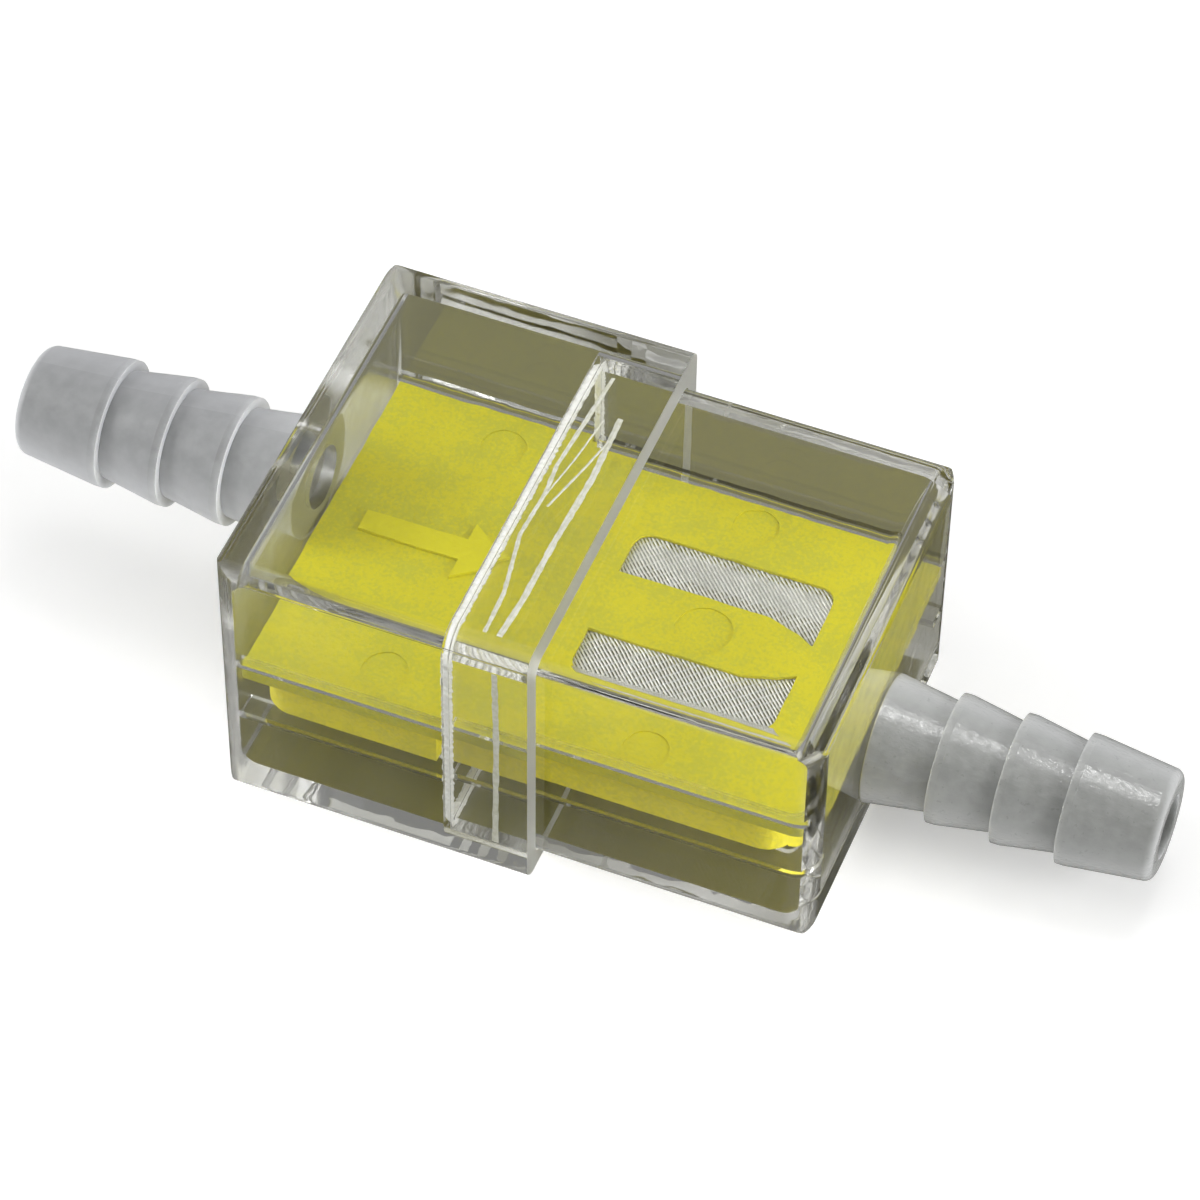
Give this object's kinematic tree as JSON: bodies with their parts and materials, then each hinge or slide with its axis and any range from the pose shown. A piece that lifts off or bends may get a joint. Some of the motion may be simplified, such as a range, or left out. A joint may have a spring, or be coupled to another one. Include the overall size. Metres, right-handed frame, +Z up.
{
  "type": "in-line fuel filter",
  "caption": "Square see-through in-line fuel filter: two telescoping clear case halves, a yellow element with a woven metal screen, and a ridged hose barb at each end.",
  "frame": {"origin": "middle of the underside: halfway between the barb tips, on the centre plane, at the level of the inlet half's flat bottom", "axes": "+X along the flow, from the inlet barb to the outlet barb; +Z up; +Y completes the right-handed frame"},
  "size_m": [0.0724, 0.0266, 0.02],
  "materials": {
    "inlet_case": "clear, polished",
    "outlet_case": "clear, polished",
    "inlet_barb": "frosted, faintly see-through",
    "outlet_barb": "frosted, sparkling grain",
    "element_plate": "satin moulded",
    "element_tray": "satin moulded",
    "screen_mesh": "fine woven wire",
    "weld_bead": "clear, uneven"
  },
  "bodies": {
    "root": {"inlet_case": "inlet_case", "outlet_case": "outlet_case", "inlet_barb": "inlet_barb", "outlet_barb": "outlet_barb", "element_plate": "element_plate", "element_tray": "element_tray", "screen_mesh": "screen_mesh", "weld_bead": "weld_bead"}
  },
  "joints": []
}
